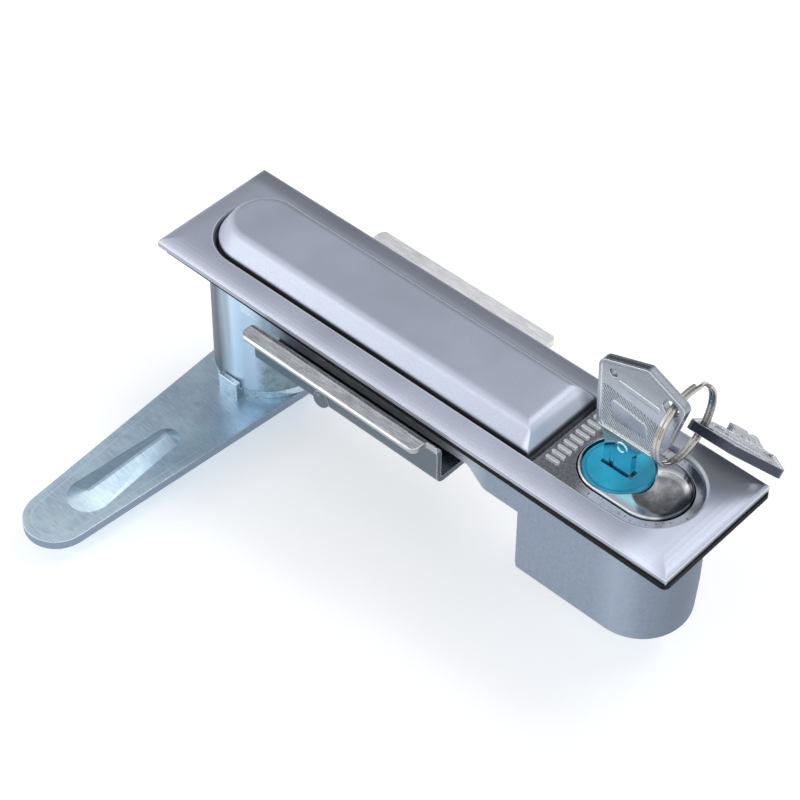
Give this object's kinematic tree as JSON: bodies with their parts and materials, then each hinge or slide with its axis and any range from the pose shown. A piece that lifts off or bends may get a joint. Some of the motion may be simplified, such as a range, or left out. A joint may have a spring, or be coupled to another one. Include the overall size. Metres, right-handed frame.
{
  "type": "swing-handle cabinet lock",
  "caption": "Flush swing-handle lock for an electrical cabinet: satin chrome plate, push button, key cylinder, zinc lever and clamping bracket, with two keys on a ring.",
  "frame": {"origin": "on the outer face of the door sheet, under the gasket, in the middle of the escutcheon plate", "axes": "+X along the plate towards the key end, +Y across the plate away from the lever, +Z out of the door towards the user"},
  "size_m": [0.1624, 0.1269, 0.0856],
  "materials": {
    "satin_chrome": "satin pearl chrome on zinc die casting",
    "chrome": "bright mirror chrome",
    "zinc": "blue-white zinc plated, lightly brushed",
    "steel": "plain bright steel",
    "nickel": "bright nickel plated",
    "brass": "machined brass",
    "rubber": "matt black rubber",
    "nylon": "natural nylon",
    "blue_plastic": "glossy teal blue plastic"
  },
  "bodies": {
    "housing": {"lock_base": "satin_chrome", "gasket": "rubber", "mounting_bracket": "zinc", "bracket_screws": "zinc", "rear_cover": "zinc", "cover_screws": "steel", "button_deck": "chrome", "deck_screws": "steel", "catch_pin": "steel", "thrust_washer": "nylon", "lift_spring": "steel", "button_spring": "steel", "catch_spring": "steel"},
    "swing_handle": {"handle": "satin_chrome", "handle_pin": "steel"},
    "spindle_and_lever": {"spindle": "zinc", "stop_washer": "zinc", "cam_lever": "zinc", "spring_washer": "steel", "lever_screw": "zinc"},
    "button": {"push_button": "chrome", "cylinder_barrel": "brass", "cylinder_clip": "steel"},
    "catch_arm": {"catch": "zinc"},
    "plug": {"cylinder_plug": "brass", "cylinder_cap": "blue_plastic", "wafers": "brass", "wafer_springs": "steel", "locking_cam": "zinc", "cam_screw": "steel"},
    "key_in_lock": {"inserted_key": "nickel"},
    "ring": {"key_ring": "nickel"},
    "hanging_key": {"spare_key": "nickel"}
  },
  "joints": [
    {"name": "handle_lift", "type": "hinge", "parent": "housing", "child": "swing_handle", "pos_m": [-0.0611, 0, 0.001], "axis": [0, -1, 0], "range_deg": [0, 20], "deforming": ["lift_spring"]},
    {"name": "spindle_turn", "type": "hinge", "parent": "housing", "child": "spindle_and_lever", "pos_m": [-0.0611, 0, -0.03], "axis": [0, 0, 1], "range_deg": [0, 90]},
    {"name": "button_press", "type": "slide", "parent": "housing", "child": "button", "axis": [0, 0, -1], "range_m": [0, 0.0025], "stiffness_N_per_m": 1000, "springref_m": -0.002, "deforming": ["button_spring"]},
    {"name": "catch_turn", "type": "hinge", "parent": "housing", "child": "catch_arm", "pos_m": [0.0365, 0, -0.017], "axis": [0, 1, 0], "range_deg": [0, 23], "deforming": ["catch_spring"]},
    {"name": "key_turn", "type": "hinge", "parent": "button", "child": "plug", "pos_m": [0.0517, 0, 0.002], "axis": [0, 0, -1], "range_deg": [0, 90]},
    {"name": "key_pull", "type": "slide", "parent": "plug", "child": "key_in_lock", "axis": [0, 0, 1], "range_m": [0, 0.024]},
    {"name": "ring_swing", "type": "hinge", "parent": "key_in_lock", "child": "ring", "pos_m": [0.0644, 0.005, 0.0225], "axis": [1, 0, 0], "range_deg": [0, 45]},
    {"name": "spare_swing", "type": "hinge", "parent": "ring", "child": "hanging_key", "pos_m": [0.0644, 0.01207, 0.01543], "axis": [0, 0.7071, 0.7071], "range_deg": [-12, 12]}
  ],
  "couplings": [
    {"joint": "catch_turn", "follows": "button_press", "rad_per_m": 160.57},
    {"joint": "ring_swing", "follows": "key_turn", "ratio": 0.5}
  ]
}
